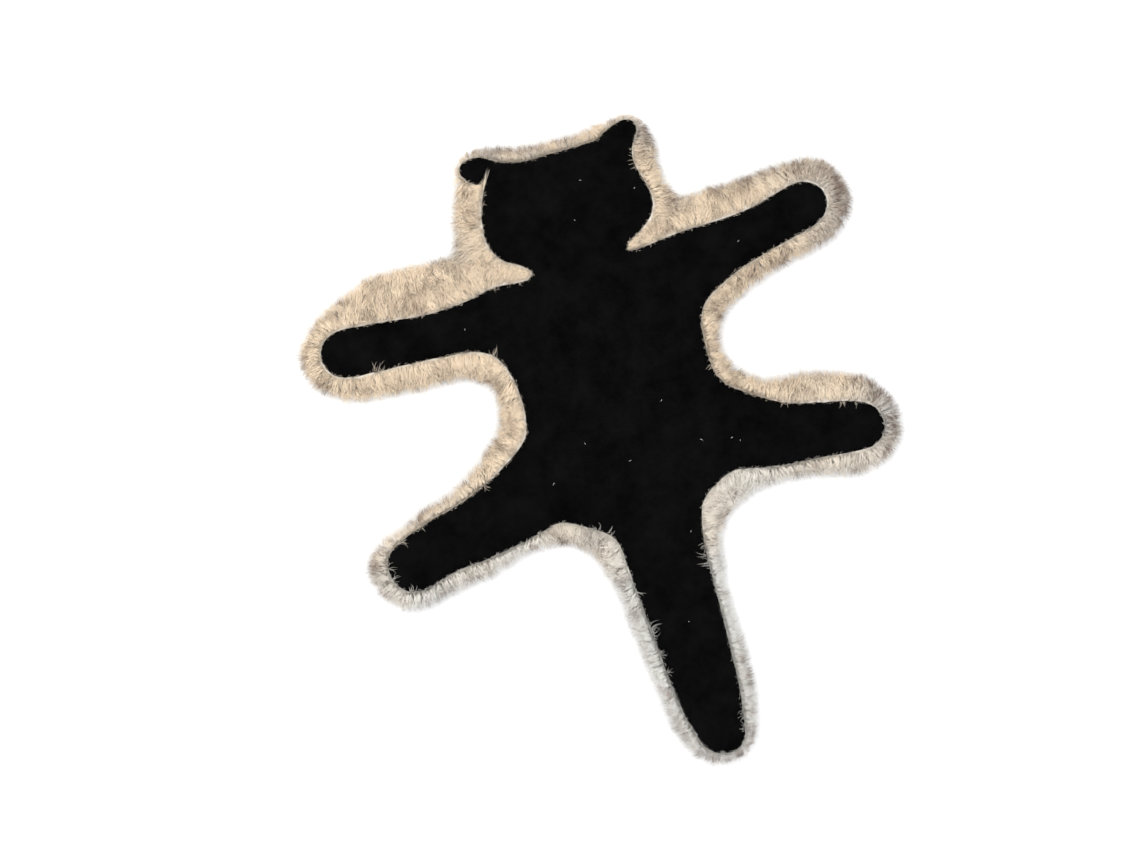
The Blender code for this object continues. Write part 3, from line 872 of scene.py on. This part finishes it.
def warmth_and_lamp_glow(points):
    """How creamy the pile is, from grey to warm: random patches of its own, and a painted warm lamp
    glow that rises towards the head.
    """
    rise = (points[:, 1] - LAMP_GLOW_FROM) / LAMP_GLOW_RISE + uneven(points, WARMTH)
    return np.clip(np.clip(rise, 0.0, 1.0) - GREYER * darkness(points), 0.0, 1.0)


Clumps = namedtuple("Clumps", "place lean tip tone rise")


def grow_clumps(random):
    """Where each clump's tip is and which way it leans, with its tone and how far it stands up."""
    clump, _, index = BORDER.scattered(CLUMP_PITCH, FIRST_ROOTS, LAST_CLUMPS, random)
    count = len(clump)
    flow = uneven(clump, FLOW_SLOW) + uneven(clump, FLOW_QUICK)
    flow += random.normal(0.0, CLUMP_STRAY_ANGLE, count)
    lean = turned(BORDER.across[index], flow)
    room = BORDER.room(clump, lean, FURTHEST_ROOM) * drawn(random, CLUMP_ROOM, count)
    reach = np.minimum(STRAND_REACH * drawn(random, CLUMP_REACH, count), room)
    tone = TONE_MIDDLE + uneven(clump, TIP_PATCHES) + TONE_SPREAD * random.uniform(-1.0, 1.0, count)
    tone = np.clip(tone, CLUMP_TONES.least, CLUMP_TONES.most)
    return Clumps(clump, lean, clump + lean * reach[:, None], tone, uneven(clump, CLUMP_RISE))


def grow_strands(undercoat_line, clumps, random):
    """Every strand of the border: its root on the plan, its line, half widths and tone."""
    root, depth, index = BORDER.scattered(STRAND_PITCH, FIRST_ROOTS, LAST_ROOTS, random)
    count = len(root)
    _, mine = nearest(root, clumps.place)
    wild = random.random(count) ** WILD_POWER
    lean = OWN_LEAN * BORDER.across[index] + (1.0 - OWN_LEAN) * clumps.lean[mine]
    stray = random.normal(0.0, 1.0, count) * (STRAND_STRAY_ANGLE + WILD_ANGLE * wild)
    lean = turned(lean / np.linalg.norm(lean, axis=1)[:, None], stray)
    wanted = STRAND_REACH * (1.0 + STRAND_REACH_SPREAD * random.uniform(-1.0, 1.0, count))
    room = BORDER.room(root, lean, FURTHEST_ROOM)
    reach = np.minimum(wanted, room * share_of_room(random, count) + WILD_REACH * wild)
    pull = CLUMP_PULL * drawn(random, PULLS, count) * (1.0 - wild)
    gathered = clumps.tip[mine] + random.normal(0.0, CLUMP_TIP_SPREAD, (count, 2))
    tip = (root + lean * reach[:, None]) * (1 - pull[:, None]) + gathered * pull[:, None]
    aside = turned(lean, 90.0) * random.normal(0.0, STRAND_CURL, count)[:, None]
    ahead = BEND_PLACE + BEND_FURTHER * soft_step(depth / BEND_RISE)[:, None]
    middle = root * (1 - ahead) + tip * ahead + aside

    near_rim = 1.0 - soft_step(nearest(tip, BORDER.rim)[0] / DARK_RING)
    drop = near_rim * random.random(count)
    root_height = undercoat_top(root, undercoat_line) - ROOT_DEPTH
    root_height = np.maximum(root_height, BACKING_THICKNESS * LEAST_ROOT_SHARE)
    tip_height = PILE_RELIEF.at(tip) * (1.0 - RIM_DROP * drop) + drawn(random, TIP_HEIGHTS, count)
    tip_height = np.maximum(tip_height, LOWEST_TIP)
    arch = STRAND_ARCH * drawn(random, ARCHES, count) + clumps.rise[mine] + WILD_ARCH * wild
    arch += CROWDED_ARCH * np.maximum(wanted - room, 0.0)
    arch *= np.clip(reach / FULL_ARCH_REACH, LEAST_ARCH_SHARE, 1.0)
    over_middle = PILE_RELIEF.at(middle) * (1.0 - MIDDLE_DROP * drop) + arch
    middle_height = 2.0 * over_middle - (root_height + tip_height) / 2
    lines = bent(np.column_stack((root, root_height)), np.column_stack((middle, middle_height)),
                 np.column_stack((tip, tip_height)), len(STRAND_HALF_WIDTHS))
    lines[..., 2] = np.maximum(lines[..., 2], LOWEST_STRAND)

    thickness = drawn(random, THICKNESSES, count) * (1.0 - WILD_THINNING * wild)
    thickness *= 1.0 - RIM_THINNING * near_rim
    widths = np.array(STRAND_HALF_WIDTHS)[None] * thickness[:, None]
    tones = clumps.tone[mine] + darkness(root)
    tones = tones * (PALE_INSIDE + (1.0 - PALE_INSIDE) * near_rim)
    tones = tones * drawn(random, STRAND_TONES, count)
    tones += TICKED_TONE * (random.random(count) < TICKED_SHARE)
    return root, lines, widths, np.clip(tones, 0.0, 1.0)


def grow_pile(undercoat_line):
    """The strands of the whole border, as one piece for each stretch of it."""
    random = np.random.default_rng(PILE_SEED)
    clumps = grow_clumps(random)
    root, lines, widths, tones = grow_strands(undercoat_line, clumps, random)
    # warmth with painted warm lamp glow, for each strand
    warmths_and_lamp_glow = warmth_and_lamp_glow(root)
    fur = strand_material("long pile faux fur", FUR_ROOTS, FUR_TIPS, FUR_DARK)
    middles = np.array([(row.x, row.y) for row in STRETCHES], dtype=float)
    _, stretch = nearest(root, middles)
    pieces = []
    for number, row in enumerate(STRETCHES):
        here = stretch == number
        pieces.append(strands("pile_of_" + row.name, lines[here], widths[here], tones[here],
                              warmths_and_lamp_glow[here], fur))
    return pieces


def hairs_over_edge(starts, ahead, lengths, curl, rise, half_widths, random):
    """Lines for hairs that come up past the cut edge and fall ahead of them over the felt."""
    count = len(starts)
    tips = starts + ahead * lengths[:, None]
    aside = turned(ahead, 90.0) * (random.normal(0.0, 1.0, count) * curl * lengths)[:, None]
    middles = starts + ahead * 0.5 * lengths[:, None] + aside
    top = felt_top(starts)
    over = np.maximum(felt_top(tips), felt_top(middles)) + HAIR_OVER_FELT
    middle_height = over + rise * drawn(random, HAIR_RISES, count) * lengths
    tip_height = over + drawn(random, HAIR_TIP_HEIGHTS, count)
    return bent(np.column_stack((starts, top - HAIR_ROOT_DEPTH)),
                np.column_stack((middles, middle_height)), np.column_stack((tips, tip_height)),
                len(half_widths))


def edge_wisps(material, random):
    """The longer hairs that fall over the felt in wisps."""
    starts, headings, lengths, curls = [], [], [], []
    for wisp in WISPS:
        _, index = nearest(np.array([(wisp.x, wisp.y)], dtype=float), EDGE)
        place = EDGE[index[0]] + BORDER.across[index[0]] * WISP_OUTSIDE
        beside = turned(BORDER.across[index], 90.0)[0]
        shift = random.normal(0.0, WISP_BREADTH, wisp.hairs)
        starts.append(place + beside * shift[:, None])
        headings.append(wisp.heading + random.normal(0.0, wisp.spread, wisp.hairs))
        lengths.append(wisp.length * drawn(random, WISP_LENGTHS, wisp.hairs))
        curls.append(np.full(wisp.hairs, WISP_CURL * wisp.spread))
    starts = np.vstack(starts)
    headings = np.radians(np.concatenate(headings))
    ahead = np.column_stack((np.cos(headings), np.sin(headings)))
    lengths = np.concatenate(lengths)
    lines = hairs_over_edge(starts, ahead, lengths, np.concatenate(curls), WISP_RISE,
                            WISP_HALF_WIDTHS, random)
    thickness = drawn(random, WISP_THICKNESSES, len(lines))
    widths = np.array(WISP_HALF_WIDTHS)[None] * thickness[:, None]
    # the wisps take the painted warm lamp glow too
    return strands("edge_wisps", lines, widths, np.zeros(len(lines)), warmth_and_lamp_glow(starts), material)


def edge_fringe(material, random):
    """The fine short hairs all along the felt's edge."""
    starts = evenly_spaced(EDGE, FRINGE_STEP)
    count = len(starts)
    outside = outward(starts, FRINGE_LOOK)
    starts = starts + outside * drawn(random, FRINGE_OUTSIDE, count)[:, None]
    lengths = FRINGE_LENGTH * drawn(random, FRINGE_LENGTHS, count)
    lean = random.choice((-1.0, 1.0), count) * drawn(random, FRINGE_LEANS, count)
    lines = hairs_over_edge(starts, turned(-outside, lean), lengths, FRINGE_CURL, FRINGE_RISE,
                            FRINGE_HALF_WIDTHS, random)
    widths = np.tile(FRINGE_HALF_WIDTHS, (count, 1))
    # the fringe takes the painted warm lamp glow too
    return strands("edge_fringe", lines, widths, np.zeros(count), warmth_and_lamp_glow(starts), material)


def settled_lint(material):
    random = np.random.default_rng(LINT_SEED)
    rows = []
    for speck in LINT:
        middle = np.array((speck.x, speck.y), dtype=float)
        heading = math.radians(speck.heading)
        half = np.array((math.cos(heading), math.sin(heading))) * speck.length / 2
        curl = np.array((-half[1], half[0])) * random.uniform(-LINT_CURL, LINT_CURL)
        rows.append((middle - half, middle + curl, middle + half))
    rows = np.array(rows)
    heights = [felt_top(rows[:, end]) for end in range(3)]
    starts, middles, tips = (np.column_stack((rows[:, end], heights[end] + lift))
                             for end, lift in enumerate(LINT_HEIGHTS))
    lines = bent(starts, middles, tips, len(LINT_HALF_WIDTHS))
    widths = np.tile(LINT_HALF_WIDTHS, (len(lines), 1))
    return strands("lint", lines, widths, np.zeros(len(lines)), np.zeros(len(lines)), material)


# The floor, the light and the camera

def add_panel(panel):
    light = bpy.data.lights.new(panel.name, "AREA")
    light.shape = "SQUARE"
    light.size = panel.size
    light.energy = panel.power
    light.color = panel.colour
    holder = bpy.data.objects.new(panel.name, light)
    holder.location = panel.place
    holder.rotation_euler = (-Vector(panel.place)).to_track_quat("-Z", "Y").to_euler()
    bpy.context.scene.collection.objects.link(holder)


def add_camera():
    lens = bpy.data.cameras.new("camera")
    lens.sensor_width = SENSOR_WIDTH
    lens.lens = SENSOR_WIDTH * CAMERA_HEIGHT / VIEW_WIDTH
    camera = bpy.data.objects.new("camera", lens)
    camera.location = (CAMERA_AIM[0] * MM, CAMERA_AIM[1] * MM, CAMERA_HEIGHT * MM)
    camera.rotation_euler = (0.0, 0.0, math.radians(CAMERA_TURN))
    bpy.context.scene.collection.objects.link(camera)
    bpy.context.scene.camera = camera


def build_studio():
    floor_mesh = bpy.data.meshes.new("floor")
    corners = ((-1, -1), (1, -1), (1, 1), (-1, 1))
    floor_mesh.from_pydata([(FLOOR_HALF * x, FLOOR_HALF * y, FLOOR_HEIGHT) for x, y in corners], [],
                           [(0, 1, 2, 3)])
    pale, _, _ = new_material("pale floor", Base_Color=FLOOR_COLOUR, Roughness=0.7)
    floor = new_piece("floor", floor_mesh, pale)

    world = bpy.data.worlds.new("studio")
    world.use_nodes = True
    sky = world.node_tree.nodes["Background"]
    sky.inputs["Color"].default_value = (1.0, 1.0, 1.0, 1.0)
    sky.inputs["Strength"].default_value = SKY_STRENGTH
    bpy.context.scene.world = world
    for panel in PANELS:
        add_panel(panel)
    bpy.context.scene.view_settings.view_transform = "Standard"
    add_camera()
    return floor


floor = build_studio()
EDGE = felt_edge()
FELT_RELIEF = Relief("cat_panel").carried_on(FELT_CARRY_ROUNDS).softened(FELT_SOFT_ROUNDS)
BORDER = Border(EDGE, line_through_lock_tips(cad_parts["fur_base"]))
PILE_RELIEF = pile_relief()

backing_width = np.maximum(BORDER.width - BACKING_SHORT_OF_PILE, BACKING_BORDER_LEAST)
backing_line = grown(EDGE, backing_width, CLOTH_LINE_STEP)
undercoat_width = np.maximum(BORDER.width - UNDERCOAT_SHORT_OF_PILE, UNDERCOAT_BORDER_LEAST)
undercoat_line = grown(EDGE, undercoat_width, CLOTH_LINE_STEP)
felt = lay_felt()
backing = lay_backing(backing_line)
undercoat = lay_undercoat(undercoat_line)
pile = grow_pile(undercoat_line)
white_hair = strand_material("loose white hair", HAIR_ROOTS, HAIR_TIPS, HAIR_DARK)
hair_random = np.random.default_rng(HAIR_SEED)
hairs = [edge_wisps(white_hair, hair_random), edge_fringe(white_hair, hair_random)]
lint = settled_lint(white_hair)

for piece in (felt, lint):
    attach(piece, "root")
for piece in (backing, undercoat, *pile, *hairs):
    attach(piece, "root")
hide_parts("cat_panel")
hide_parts("fur_base")
